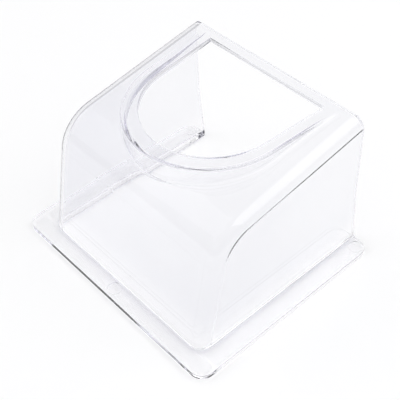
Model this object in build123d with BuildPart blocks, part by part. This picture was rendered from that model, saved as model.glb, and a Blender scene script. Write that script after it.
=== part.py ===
from build123d import *
from math import cos, radians, sin, tan
import os

# Clear weather hood for a wall-mounted push button. It is one moulding, held on the wall by three
# strips of double-sided tape, each still under its release liner.
# Millimetres. Z = 0 is the plane the hood lies on, and +Z points away from the wall. -Y is the roof
# side, which is up on the wall, and +Y is the open side, which is down. X = 0 is the plane of symmetry.

# Hood
hood_width = 96.8  # across the outside of the side walls
hood_depth = 88.75  # foot of the roof wall to the flange's open edge
wall = 2.0
knuckle_height = 55.7  # flange underside to where the roof wall and the shoulder would meet
knuckle_radius = 20.8
roof_lean = 12.5  # degrees off the vertical
shoulder_rise = 9.35  # degrees off the horizontal
side_edge_radius = 6.1
heel_height = 29.0  # below this, the open ends of the side walls run out to the flange edge
heel_setback = 1.9  # flange edge to the open ends above the heel

# Wall flange
side_margin = 9.1  # flange edge to a side wall
roof_margin = 7.75  # flange edge to the foot of the roof wall
flange_thickness = 2.0
flange_corner_radius = 5.8
flange_rim_radius = 0.3
flange_foot_radius = 0.8  # hollow between the flange and the walls that stand on it

# Raised collar and its D-shaped opening
collar_runout = 2.4  # open side to where the collar's top runs out into the shoulder
collar_tilt = 2.5  # degrees, falling towards the roof wall
collar_flare = 4.0  # degrees that each arm opens
collar_side_margin = 12.5  # outside of a side wall to the collar's arc
collar_roof_margin = 5.45  # meeting line of roof wall and shoulder to the collar's arc
collar_edge_radius = 0.4
collar_foot_radius = 1.5
rim_width = 6.05  # edge of the collar to the opening, along the arms
rim_front_width = 7.3  # edge of the collar to the opening, at the front
open_side_strip = 5.1  # opening to the open side

# Tape and liners under the flange
tape_thickness = 0.8
liner_thickness = 0.2
tape_inset = 2.0  # flange edge to tape
tape_setback = 1.55  # inside face of a wall to tape
tape_gap = 1.5  # between the roof strip and the side strips
tape_corner_radius = 1.0

# Round moulded marks on the flange
mark_radius = 3.1
mark_depth = 0.25
mark_inset = 4.2  # flange edge to the centre of a mark

overshoot = 3.0  # how far a cutting shape runs past what it cuts
slack = 0.01  # when edges are picked by their height

# Sizes and places worked out from them
flange_width = hood_width + 2 * side_margin
flange_depth = hood_depth + roof_margin
roof_edge_y = -flange_depth / 2
open_edge_y = flange_depth / 2
open_end_y = open_edge_y - heel_setback
flange_z = tape_thickness + liner_thickness
flange_top = flange_z + flange_thickness
knuckle_y = roof_edge_y + roof_margin + (knuckle_height - flange_thickness) * tan(radians(roof_lean))
knuckle_z = flange_z + knuckle_height
runout_y = open_end_y - collar_runout
runout_z = knuckle_z + (runout_y - knuckle_y) * tan(radians(shoulder_rise))
collar_radius = hood_width / 2 - collar_side_margin
collar_centre_y = knuckle_y + collar_roof_margin + collar_radius
opening_radius = collar_radius - rim_width
opening_centre_y = collar_centre_y + rim_front_width - rim_width
tilt = radians(collar_tilt)
collar_plane = Plane(origin=(0, runout_y, runout_z), z_dir=(0, -sin(tilt), cos(tilt)))
clear_z = runout_z + knuckle_radius  # above everything

os.makedirs("parts", exist_ok=True)


def u_outline(radius, centre_y, end_y):
    """Return the face inside an arc and two flared arms, closed straight across at end_y."""
    with BuildSketch(mode=Mode.PRIVATE) as outline:
        with BuildLine():
            arc = CenterArc((0, centre_y), radius, 180 + collar_flare, 180 - 2 * collar_flare)
            half_width = (arc @ 1).X + (end_y - (arc @ 1).Y) * tan(radians(collar_flare))
            Polyline(arc @ 1, (half_width, end_y), (-half_width, end_y), arc @ 0)
        make_face()
    return outline.sketch


def hood_volume(inset):
    """Return the hood's filled volume, moved inwards by inset. It runs on below and past the open side."""
    low_z = flange_z - overshoot
    far_y = open_edge_y + overshoot
    low_y = knuckle_y - (knuckle_z - low_z) * tan(radians(roof_lean))
    far_z = knuckle_z + (far_y - knuckle_y) * tan(radians(shoulder_rise))
    with BuildPart() as body:
        with BuildSketch(Plane.YZ) as side:
            with BuildLine():
                Polyline((low_y, low_z), (knuckle_y, knuckle_z), (far_y, far_z), (far_y, low_z), close=True)
            make_face()
            knuckle = side.vertices().sort_by_distance((knuckle_y, knuckle_z, 0))[0]
            fillet(knuckle, radius=knuckle_radius)
            offset(amount=-inset, mode=Mode.REPLACE)
        extrude(amount=hood_width / 2 - inset, both=True)
        side_edges = body.faces().filter_by(Axis.X).edges()
        far_edges = body.faces().filter_by(Axis.Y).edges()
        low_edges = body.faces().filter_by(Axis.Z).edges()
        fillet(side_edges - far_edges - low_edges, radius=side_edge_radius - inset)
    with BuildPart() as collar:
        with BuildSketch(Plane.XY.offset(knuckle_z - knuckle_radius)):
            add(u_outline(collar_radius - inset, collar_centre_y, far_y - inset))
        extrude(amount=knuckle_radius + clear_z - knuckle_z)
    with BuildPart() as volume:
        add(body.part)
        add(collar.part)
        fillet(volume.edges(Select.NEW), radius=collar_foot_radius)
        split(bisect_by=collar_plane.offset(-inset), keep=Keep.BOTTOM)
    return volume.part


def save(piece, name):
    """Label one finished piece and write it as its own STEP file."""
    piece.part.label = name
    export_step(piece.part, f"parts/{name}.step")


# Envelope of the hood: the flange with its upper edge eased, and a block over the walls and their feet
with BuildPart() as envelope:
    with BuildSketch(Plane.XY.offset(flange_z)):
        RectangleRounded(flange_width, flange_depth, flange_corner_radius)
    extrude(amount=flange_thickness)
    upper_edge = envelope.faces().sort_by(Axis.Z)[-1].edges()
    fillet(upper_edge, radius=flange_rim_radius)
    with BuildSketch(Plane.XY.offset(flange_z)):
        with Locations((0, open_edge_y)):
            Rectangle(
                hood_width + 2 * flange_foot_radius,
                hood_depth + flange_foot_radius,
                align=(Align.CENTER, Align.MAX),
            )
    extrude(amount=clear_z)

# Hood: flange and shell in one, hollowed, then cut to its envelope and back at the open side
filled = hood_volume(0)
cavity = hood_volume(wall)
with BuildPart() as hood:
    with BuildSketch(Plane.XY.offset(flange_z)):
        with Locations((0, overshoot / 2)):
            Rectangle(flange_width, flange_depth + overshoot)
    extrude(amount=flange_thickness)
    add(filled)
    split(bisect_by=Plane.XY.offset(flange_z), keep=Keep.TOP)
    feet = hood.edges().filter_by_position(Axis.Z, flange_top - slack, flange_top + slack)
    feet = feet.filter_by_position(Axis.X, -hood_width / 2, hood_width / 2)
    feet = feet.filter_by_position(Axis.Y, roof_edge_y, open_edge_y, (False, False))
    fillet(feet, radius=flange_foot_radius)
    add(cavity, mode=Mode.SUBTRACT)
    add(envelope.part, mode=Mode.INTERSECT)
    with BuildSketch(Plane.YZ):
        with BuildLine():
            Polyline(
                (open_edge_y, flange_top),
                (open_end_y, flange_z + heel_height),
                (open_end_y, clear_z),
                (open_edge_y + overshoot, clear_z),
                (open_edge_y + overshoot, flange_top),
                close=True,
            )
        make_face()
    extrude(amount=flange_width, both=True, mode=Mode.SUBTRACT)
    # D-shaped opening through the collar's top, then the collar's upper edges eased
    with BuildSketch(Plane.XY.offset(clear_z)):
        add(u_outline(opening_radius, opening_centre_y, open_end_y - open_side_strip))
    extrude(amount=knuckle_z - clear_z, mode=Mode.SUBTRACT)
    collar_top = hood.faces().filter_by(collar_plane).sort_by(Axis.Z)[-1]
    fillet(collar_top.edges(), radius=collar_edge_radius)
    # Marks in the middle of the roof arm and at the ends of the side arms
    mark_x = flange_width / 2 - mark_inset
    with BuildSketch(Plane.XY.offset(flange_top)):
        with Locations(
            (0, roof_edge_y + mark_inset),
            (mark_x, open_edge_y - mark_inset),
            (-mark_x, open_edge_y - mark_inset),
        ):
            Circle(mark_radius)
    extrude(amount=-mark_depth, mode=Mode.SUBTRACT)
save(hood, "hood")

# Tape strips and their liners: one pair under each arm of the flange, stuck face to face
side_tape_width = side_margin + wall - tape_inset - tape_setback
roof_tape_width = roof_margin + wall - tape_inset - tape_setback
side_tape_length = flange_depth - 2 * tape_inset - roof_tape_width - tape_gap
side_tape_x = flange_width / 2 - tape_inset - side_tape_width / 2
side_tape_y = open_edge_y - tape_inset - side_tape_length / 2
roof_tape_y = roof_edge_y + tape_inset + roof_tape_width / 2
strips = {
    "roof": ((0, roof_tape_y), (flange_width - 2 * tape_inset, roof_tape_width)),
    "left": ((-side_tape_x, side_tape_y), (side_tape_width, side_tape_length)),
    "right": ((side_tape_x, side_tape_y), (side_tape_width, side_tape_length)),
}
for arm, (centre, size) in strips.items():
    with BuildPart() as tape:
        with BuildSketch(Plane.XY.offset(liner_thickness)):
            with Locations(centre):
                RectangleRounded(*size, tape_corner_radius)
        extrude(amount=tape_thickness)
    save(tape, f"tape_strip_{arm}")
    with BuildPart() as liner:
        with BuildSketch():
            with Locations(centre):
                RectangleRounded(*size, tape_corner_radius)
        extrude(amount=liner_thickness)
    save(liner, f"release_liner_{arm}")
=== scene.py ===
import math

import bmesh
import bpy
from bpy.props import FloatProperty, FloatVectorProperty, PointerProperty
from mathutils import Matrix, Vector, noise


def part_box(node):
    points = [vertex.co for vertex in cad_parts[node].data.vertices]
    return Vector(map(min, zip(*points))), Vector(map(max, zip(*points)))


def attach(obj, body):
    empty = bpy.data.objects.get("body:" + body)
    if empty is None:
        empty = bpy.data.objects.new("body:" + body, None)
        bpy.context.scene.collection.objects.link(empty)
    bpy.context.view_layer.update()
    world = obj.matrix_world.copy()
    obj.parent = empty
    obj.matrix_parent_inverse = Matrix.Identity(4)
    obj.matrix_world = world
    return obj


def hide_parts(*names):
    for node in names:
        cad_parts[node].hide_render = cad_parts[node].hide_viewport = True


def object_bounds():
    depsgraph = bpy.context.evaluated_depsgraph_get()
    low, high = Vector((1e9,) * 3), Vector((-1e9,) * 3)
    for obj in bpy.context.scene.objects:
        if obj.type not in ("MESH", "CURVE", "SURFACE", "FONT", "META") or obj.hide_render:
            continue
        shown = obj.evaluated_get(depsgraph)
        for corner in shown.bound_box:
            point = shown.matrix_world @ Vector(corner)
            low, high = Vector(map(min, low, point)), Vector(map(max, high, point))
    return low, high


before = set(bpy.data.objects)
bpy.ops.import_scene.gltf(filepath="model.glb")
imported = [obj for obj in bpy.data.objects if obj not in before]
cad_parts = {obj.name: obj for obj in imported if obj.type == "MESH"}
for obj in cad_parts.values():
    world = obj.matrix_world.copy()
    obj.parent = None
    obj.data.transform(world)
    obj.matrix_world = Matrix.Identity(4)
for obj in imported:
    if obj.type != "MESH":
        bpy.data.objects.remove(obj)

bl_info = {
    "name": "Clear Button Hood",
    "version": (1, 0, 0),
    "blender": (4, 5, 0),
    "location": "View3D > Sidebar > Button Hood",
    "description": "Finishes a clear moulded rain hood with its tape strips and sets it on a pale table",
    "category": "Object",
}

CAD_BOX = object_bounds()
ARMS = ("roof", "left", "right")

# Strips, in metres
STRIP_CORNER = 0.001
STRIP_STEP = 0.002  # between two points along an edge
CORNER_STEPS = 6
EDGE_EASE = 0.00008  # how far the upper and lower edges are eased
AIR_GAP = 0.00003  # above and below each strip
TAPE_SWELL = 0.0002  # how far the edge of the tape wanders
LINER_SWELL = 0.0001
WANDER_GRAIN = 90.0

# Grain of each finish, in cycles per metre
WAVE_GRAIN = 38.0
PEEL_GRAIN = 420.0
RUB_GRAIN = 900.0
CLOUD_GRAIN = 24.0
STREAK_GRAIN = 600.0
BUBBLE_GRAIN = 1500.0
LINE_GRAIN = 1200.0
PAPER_GRAIN = 300.0
LINE_HEIGHT = 0.00001

# Colours
# The foot colour is painted light: nearly clear, so the flange loses the shade that falls on it. The wall
# colours are partly the plastic's lilac tint and partly painted shade, darkening the table seen through the
# walls.
PLASTIC_FOOT_PAINTED_LIGHT = (0.99, 0.99, 0.995, 1.0)
PLASTIC_WALL_TINT_AND_SHADE = (0.95, 0.951, 0.967, 1.0)
PLASTIC_CLOUD = (0.93, 0.932, 0.952, 1.0)
GEL = (0.93, 0.93, 0.94, 1.0)
GEL_BUBBLE = (1.0, 1.0, 1.0, 1.0)
FILM = (0.9, 0.9, 0.91, 1.0)
FILM_LINE = (0.96, 0.96, 0.97, 1.0)
ROOM_LOW = (0.6, 0.6, 0.62, 1.0)
ROOM_HIGH = (0.9, 0.9, 0.9, 1.0)

# Stage
TABLE_HALF = 6.0
KEY_PLACE = (0.75, 0.6, 1.5)
KEY_POWER = 9.6
FILL_PLACE = (-1.4, -0.8, 1.3)
FILL_POWER = 5.5
SOFTBOX_SIDE = 1.8
ROOM_HIGH_AT = 0.9
NEAREST = 0.01
FURTHEST = 50.0
LIGHT_BOUNCES = 32


# Shader recipes


class Field:
    """A value or colour that varies over a surface. Arithmetic on it adds Math nodes."""

    def __init__(self, recipe, socket):
        self.recipe = recipe
        self.socket = socket

    def _math(self, operation, first, second):
        return self.recipe.node("ShaderNodeMath", {"operation": operation}, {0: first, 1: second})

    def __add__(self, other):
        return self._math("ADD", self, other)

    def __radd__(self, other):
        return self._math("ADD", other, self)

    def __sub__(self, other):
        return self._math("SUBTRACT", self, other)

    def __rsub__(self, other):
        return self._math("SUBTRACT", other, self)

    def __mul__(self, other):
        return self._math("MULTIPLY", self, other)

    def __rmul__(self, other):
        return self._math("MULTIPLY", other, self)

    def __truediv__(self, other):
        return self._math("DIVIDE", self, other)

    def __rtruediv__(self, other):
        return self._math("DIVIDE", other, self)

    def __pow__(self, other):
        return self._math("POWER", self, other)


class Recipe:
    """The node tree of one material."""

    def __init__(self, name):
        self.material = bpy.data.materials.new(name)
        self.material.use_nodes = True
        self.tree = self.material.node_tree
        self.tree.nodes.clear()

    def node(self, kind, settings=None, inputs=None, output=0):
        """Add a node, set it, feed its sockets and return one of its outputs."""
        made = self.tree.nodes.new(kind)
        for name, value in (settings or {}).items():
            setattr(made, name, value)
        for name, value in (inputs or {}).items():
            self.feed(made.inputs[name], value)
        return Field(self, made.outputs[output])

    def feed(self, socket, value):
        """Join a field to a socket, or set the socket's own value."""
        if isinstance(value, Field):
            self.tree.links.new(value.socket, socket)
        else:
            socket.default_value = value

    def place(self):
        """Position on the piece in metres."""
        return self.node("ShaderNodeTexCoord", output="Object")

    def noise(self, scale, detail=2.0, roughness=0.5, stretch=(1.0, 1.0, 1.0)):
        """Soft noise from 0 to 1, with scale in cycles per metre."""
        spot = self.node("ShaderNodeMapping", inputs={"Vector": self.place(), "Scale": stretch})
        sockets = {"Vector": spot, "Scale": scale, "Detail": detail, "Roughness": roughness}
        return self.node("ShaderNodeTexNoise", inputs=sockets)

    def spread(self, value, low, high):
        """Map value from the band low to high onto 0 to 1, clamped and smoothed."""
        sockets = {"Value": value, "From Min": low, "From Max": high}
        return self.node("ShaderNodeMapRange", {"interpolation_type": "SMOOTHSTEP"}, sockets)

    def blend(self, share, first, second):
        """Mix two colours by share."""
        return self.node(
            "ShaderNodeMix", {"data_type": "RGBA"}, {"Factor": share, 6: first, 7: second}, output=2
        )

    def bump(self, height, distance):
        """Surface direction for a relief of that height field, distance in metres."""
        return self.node("ShaderNodeBump", inputs={"Height": height, "Distance": distance})

    def finish(self, surface, volume=None):
        """Join the shader to the output and return the material."""
        sockets = {"Surface": surface}
        if volume is not None:
            sockets["Volume"] = volume
        sink = self.tree.nodes.new("ShaderNodeOutputMaterial")
        for name, value in sockets.items():
            self.feed(sink.inputs[name], value)
        return self.material


def clear_moulding(look):
    """Polished clear plastic: flow waves from the mould, a few rubs, and a faint lilac depth tint. The base
    colour is painted light at the foot, kept clearer so the flange loses the shade that falls on it. Above
    that the walls are tinted darker, partly the plastic's lilac tint and partly painted shade on the table
    seen through them.
    """
    recipe = Recipe("clear_moulding")
    waves = recipe.noise(WAVE_GRAIN, detail=1.0, stretch=(1.0, 0.6, 1.0))
    orange_peel = recipe.noise(PEEL_GRAIN, detail=2.0)
    rubs = recipe.spread(recipe.noise(RUB_GRAIN, detail=4.0, stretch=(1.0, 0.05, 0.4)), 0.62, 0.8)
    cloud = recipe.spread(recipe.noise(CLOUD_GRAIN, detail=3.0), 0.35, 0.75)
    roughness = look.roughness + 0.05 * rubs + 0.012 * cloud
    relief = waves + 0.04 * orange_peel
    height = recipe.node("ShaderNodeSeparateXYZ", inputs={"Vector": recipe.place()}, output=2)
    # Painted shade: the walls take a darker tint with a random cloudy tone. It is partly the real lilac
    # tint and partly painted shade on the table seen through them.
    wall_tint_and_shade = recipe.blend(cloud, PLASTIC_WALL_TINT_AND_SHADE, PLASTIC_CLOUD)
    # Painted light: below the foot heights the colour is blended clearer, so the flange loses its shade.
    lit_foot_shaded_wall_colour = recipe.blend(recipe.spread(height, *look.foot_light_heights), PLASTIC_FOOT_PAINTED_LIGHT, wall_tint_and_shade)
    surface = recipe.node(
        "ShaderNodeBsdfPrincipled",
        inputs={
            "Base Color": lit_foot_shaded_wall_colour,
            "Roughness": roughness,
            "IOR": look.ior,
            "Transmission Weight": 1.0,
            "Normal": recipe.bump(relief, look.wave_height / 1000.0),
        },
    )
    volume = recipe.node(
        "ShaderNodeVolumeAbsorption",
        inputs={"Color": (*look.depth_tint, 1.0), "Density": look.tint_density},
    )
    return recipe.finish(surface, volume)


def gel_tape():
    """Clear acrylic gel tape: nearly invisible, with faint streaks and trapped air."""
    recipe = Recipe("gel_tape")
    streaks = recipe.noise(STREAK_GRAIN, detail=3.0, stretch=(1.0, 0.1, 1.0))
    bubbles = recipe.spread(recipe.noise(BUBBLE_GRAIN, detail=1.0), 0.7, 0.76)
    surface = recipe.node(
        "ShaderNodeBsdfPrincipled",
        inputs={
            "Base Color": recipe.blend(bubbles, GEL, GEL_BUBBLE),
            "Roughness": 0.28 + 0.2 * streaks,
            "IOR": 1.47,
            "Alpha": 0.02 + 0.02 * streaks + 0.1 * bubbles,
        },
    )
    return recipe.finish(surface)


def liner_film():
    """Satin release film with fine drawing lines along it."""
    recipe = Recipe("liner_film")
    lines = recipe.noise(LINE_GRAIN, detail=2.0, stretch=(1.0, 0.04, 1.0))
    surface = recipe.node(
        "ShaderNodeBsdfPrincipled",
        inputs={
            "Base Color": recipe.blend(lines, FILM, FILM_LINE),
            "Roughness": 0.35 + 0.15 * lines,
            "Alpha": 0.02 + 0.03 * lines,
            "Normal": recipe.bump(lines, LINE_HEIGHT),
        },
    )
    return recipe.finish(surface)


def coat(name, material):
    """Give a CAD piece its finish."""
    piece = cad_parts[name]
    piece.data.materials.clear()
    piece.data.materials.append(material)


# Strips


def strip_mesh(name, low, high, swell):
    """A flat strip between two corners, with round ends and an edge that wanders by swell."""
    form = bmesh.new()
    rim = []
    for turn, (x, y) in enumerate(((high.x, high.y), (low.x, high.y), (low.x, low.y), (high.x, low.y))):
        inward = Vector((-1 if x == high.x else 1, -1 if y == high.y else 1))
        centre = Vector((x, y)) + inward * STRIP_CORNER
        for step in range(CORNER_STEPS + 1):
            angle = math.radians(90) * (turn + step / CORNER_STEPS)
            rim.append(centre + STRIP_CORNER * Vector((math.cos(angle), math.sin(angle))))
    points = []
    for first, second in zip(rim, rim[1:] + rim[:1]):
        parts = max(1, round((second - first).length / STRIP_STEP))
        points += [first.lerp(second, part / parts) for part in range(parts)]
    middle = Vector(((low.x + high.x) / 2, (low.y + high.y) / 2))
    ease = min((high.z - low.z) * 0.4, EDGE_EASE)
    rings = []
    for height, pull in ((low.z, ease), (low.z + ease, 0), (high.z - ease, 0), (high.z, ease)):
        ring = []
        for point in points:
            wander = swell * (0.5 + 0.5 * noise.noise(Vector((*point, 0)) * WANDER_GRAIN))
            towards = (middle - point).normalized()
            ring.append(form.verts.new((*(point + towards * (pull + wander)), height)))
        rings.append(ring)
    count = len(points)
    for under, over in zip(rings, rings[1:]):
        for here in range(count):
            after = (here + 1) % count
            form.faces.new((under[here], under[after], over[after], over[here]))
    form.faces.new(rings[-1])
    form.faces.new(reversed(rings[0]))
    mesh = bpy.data.meshes.new(name)
    form.to_mesh(mesh)
    form.free()
    return mesh


def lay_strip(name, node, material, swell):
    """Lay a strip in place of a CAD one, with a thin layer of air above and below."""
    low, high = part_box(node)
    low = low + Vector((0, 0, AIR_GAP))
    high = high - Vector((0, 0, AIR_GAP))
    strip = bpy.data.objects.new(name, strip_mesh(name, low, high, swell))
    bpy.context.scene.collection.objects.link(strip)
    strip.data.materials.append(material)
    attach(strip, "root")
    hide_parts(node)
    return strip


# What a user can change


class HoodLook(bpy.types.PropertyGroup):
    """Finish of the clear moulding."""

    ior: FloatProperty(name="Refraction", description="Index of refraction of the plastic", default=1.49)
    roughness: FloatProperty(name="Roughness", description="Roughness of the polish", default=0.012)
    wave_height: FloatProperty(
        name="Wave height", description="Height of the flow waves, in millimetres", default=0.05
    )
    depth_tint: FloatVectorProperty(
        name="Depth tint",
        description="Colour that light takes on inside the plastic",
        subtype="COLOR",
        default=(0.80, 0.78, 0.98),
    )
    # Painted light: below these heights the base colour turns clearer, so the flange loses the shade that
    # falls on it.
    foot_light_heights: FloatVectorProperty(
        name="Clear foot",
        description="Heights between which the plastic turns from clear to tinted",
        subtype="XYZ_LENGTH",
        size=2,
        default=(0.003, 0.02),
    )
    tint_density: FloatProperty(
        name="Tint density", description="How fast the depth tint builds up, per metre", default=5.0
    )


class StageLook(bpy.types.PropertyGroup):
    """Table, light and camera."""

    table_colour: FloatVectorProperty(
        name="Table", description="Colour of the table", subtype="COLOR", default=(0.93, 0.93, 0.93)
    )
    azimuth: FloatProperty(
        name="Azimuth",
        description="Where the camera stands round the hood",
        default=math.radians(50.0),
        subtype="ANGLE",
    )
    elevation: FloatProperty(
        name="Elevation",
        description="How high the camera looks down from",
        default=math.radians(45.3),
        subtype="ANGLE",
    )
    roll: FloatProperty(
        name="Roll",
        description="Turn of the camera about its view",
        default=math.radians(-3.0),
        subtype="ANGLE",
    )
    distance: FloatProperty(
        name="Distance", description="Camera to the point it looks at", default=0.3469, subtype="DISTANCE"
    )
    aim: FloatVectorProperty(
        name="Aim",
        description="Point looked at, from the middle of the hood",
        default=(0.0104, -0.0046, 0.0),
        subtype="TRANSLATION",
    )
    lens: FloatProperty(name="Lens", description="Focal length in millimetres", default=78.2)


# Operators


class HOOD_OT_moulding(bpy.types.Operator):
    """Finish the hood as clear polished plastic"""

    bl_idname = "hood.moulding"
    bl_label = "Finish hood"

    def execute(self, context):
        coat("hood", clear_moulding(context.scene.hood_look))
        return {"FINISHED"}


class HOOD_OT_tape(bpy.types.Operator):
    """Finish the tape strips under the three arms of the flange"""

    bl_idname = "hood.tape"
    bl_label = "Finish tape strips"

    def execute(self, context):
        material = gel_tape()
        for arm in ARMS:
            lay_strip(f"gel_tape_{arm}", f"tape_strip_{arm}", material, TAPE_SWELL)
        return {"FINISHED"}


class HOOD_OT_liners(bpy.types.Operator):
    """Finish the release liners under the tape"""

    bl_idname = "hood.liners"
    bl_label = "Finish release liners"

    def execute(self, context):
        material = liner_film()
        for arm in ARMS:
            lay_strip(f"liner_film_{arm}", f"release_liner_{arm}", material, LINER_SWELL)
        return {"FINISHED"}


def add_softbox(name, centre, power, mirrored):
    """Hang a soft square light at centre, turned to the hood. Polished pieces show it if it is mirrored."""
    light = bpy.data.lights.new(name, "AREA")
    light.size = SOFTBOX_SIDE
    light.energy = power
    lamp = bpy.data.objects.new(name, light)
    lamp.location = centre
    lamp.visible_glossy = mirrored
    lamp.rotation_euler = (-Vector(centre)).to_track_quat("-Z", "Y").to_euler()
    bpy.context.scene.collection.objects.link(lamp)


class HOOD_OT_stage(bpy.types.Operator):
    """Lay the pale table, hang the soft lights and stand the camera"""

    bl_idname = "hood.stage"
    bl_label = "Set the stage"

    def execute(self, context):
        look = context.scene.stage_look
        low, high = CAD_BOX
        self.lay_table(look, low.z)
        self.light_room(context.scene)
        self.stand_camera(context.scene, look, (low + high) / 2)
        return {"FINISHED"}

    def lay_table(self, look, height):
        half = TABLE_HALF
        mesh = bpy.data.meshes.new("table")
        corners = [(x, y, height) for x, y in ((-half, -half), (half, -half), (half, half), (-half, half))]
        mesh.from_pydata(corners, [], [(0, 1, 2, 3)])
        table = bpy.data.objects.new("table", mesh)
        bpy.context.scene.collection.objects.link(table)
        recipe = Recipe("table_paper")
        grain = recipe.noise(PAPER_GRAIN, detail=3.0)
        surface = recipe.node(
            "ShaderNodeBsdfPrincipled",
            inputs={
                "Base Color": (*look.table_colour, 1.0),
                "Roughness": 0.75 + 0.1 * grain,
                "Specular IOR Level": 0.2,
            },
        )
        mesh.materials.append(recipe.finish(surface))

    def light_room(self, scene):
        world = bpy.data.worlds.new("room")
        world.use_nodes = True
        scene.world = world
        tree = world.node_tree
        tree.nodes.clear()
        spot = tree.nodes.new("ShaderNodeTexCoord")
        split = tree.nodes.new("ShaderNodeSeparateXYZ")
        tree.links.new(spot.outputs["Generated"], split.inputs["Vector"])
        ramp = tree.nodes.new("ShaderNodeValToRGB")
        tree.links.new(split.outputs["Z"], ramp.inputs["Fac"])
        low_stop, high_stop = ramp.color_ramp.elements
        low_stop.color = ROOM_LOW
        high_stop.position = ROOM_HIGH_AT
        high_stop.color = ROOM_HIGH
        back = tree.nodes.new("ShaderNodeBackground")
        tree.links.new(ramp.outputs["Color"], back.inputs["Color"])
        sink = tree.nodes.new("ShaderNodeOutputWorld")
        tree.links.new(back.outputs["Background"], sink.inputs["Surface"])
        add_softbox("key_light", KEY_PLACE, KEY_POWER, True)
        add_softbox("fill_light", FILL_PLACE, FILL_POWER, False)

    def stand_camera(self, scene, look, middle):
        camera = bpy.data.objects.new("camera", bpy.data.cameras.new("camera"))
        scene.collection.objects.link(camera)
        flat = math.cos(look.elevation)
        back = Vector(
            (math.sin(look.azimuth) * flat, -math.cos(look.azimuth) * flat, math.sin(look.elevation))
        )
        turn = back.to_track_quat("Z", "Y").to_matrix() @ Matrix.Rotation(look.roll, 3, "Z")
        place = middle + Vector(look.aim) + look.distance * back
        camera.matrix_world = Matrix.Translation(place) @ turn.to_4x4()
        camera.data.lens = look.lens
        camera.data.clip_start = NEAREST
        camera.data.clip_end = FURTHEST
        scene.camera = camera
        scene.view_settings.view_transform = "Standard"
        self.let_light_through(scene.cycles)

    def let_light_through(self, cycles):
        cycles.blur_glossy = 0.0
        cycles.max_bounces = LIGHT_BOUNCES
        cycles.glossy_bounces = LIGHT_BOUNCES
        cycles.transmission_bounces = LIGHT_BOUNCES
        cycles.transparent_max_bounces = LIGHT_BOUNCES


STEPS = (HOOD_OT_moulding, HOOD_OT_tape, HOOD_OT_liners, HOOD_OT_stage)


class HOOD_PT_panel(bpy.types.Panel):
    """Sizes, finishes and steps of the hood"""

    bl_idname = "HOOD_PT_panel"
    bl_label = "Button Hood"
    bl_space_type = "VIEW_3D"
    bl_region_type = "UI"
    bl_category = "Button Hood"

    def draw(self, context):
        for title, group in (("Hood", context.scene.hood_look), ("Stage", context.scene.stage_look)):
            box = self.layout.box()
            box.label(text=title)
            for name in group.__annotations__:
                box.prop(group, name)
        for step in STEPS:
            self.layout.operator(step.bl_idname)


CLASSES = (HoodLook, StageLook, *STEPS, HOOD_PT_panel)


def register():
    """Register every class and hang the settings on the scene."""
    for item in CLASSES:
        bpy.utils.register_class(item)
    bpy.types.Scene.hood_look = PointerProperty(type=HoodLook)
    bpy.types.Scene.stage_look = PointerProperty(type=StageLook)


def unregister():
    """Take the settings and classes away again."""
    del bpy.types.Scene.stage_look
    del bpy.types.Scene.hood_look
    for item in reversed(CLASSES):
        bpy.utils.unregister_class(item)


def main():
    """Make the whole scene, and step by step."""
    register()
    bpy.ops.hood.moulding()
    bpy.ops.hood.tape()
    bpy.ops.hood.liners()
    bpy.ops.hood.stage()


if __name__ == "__main__":
    main()
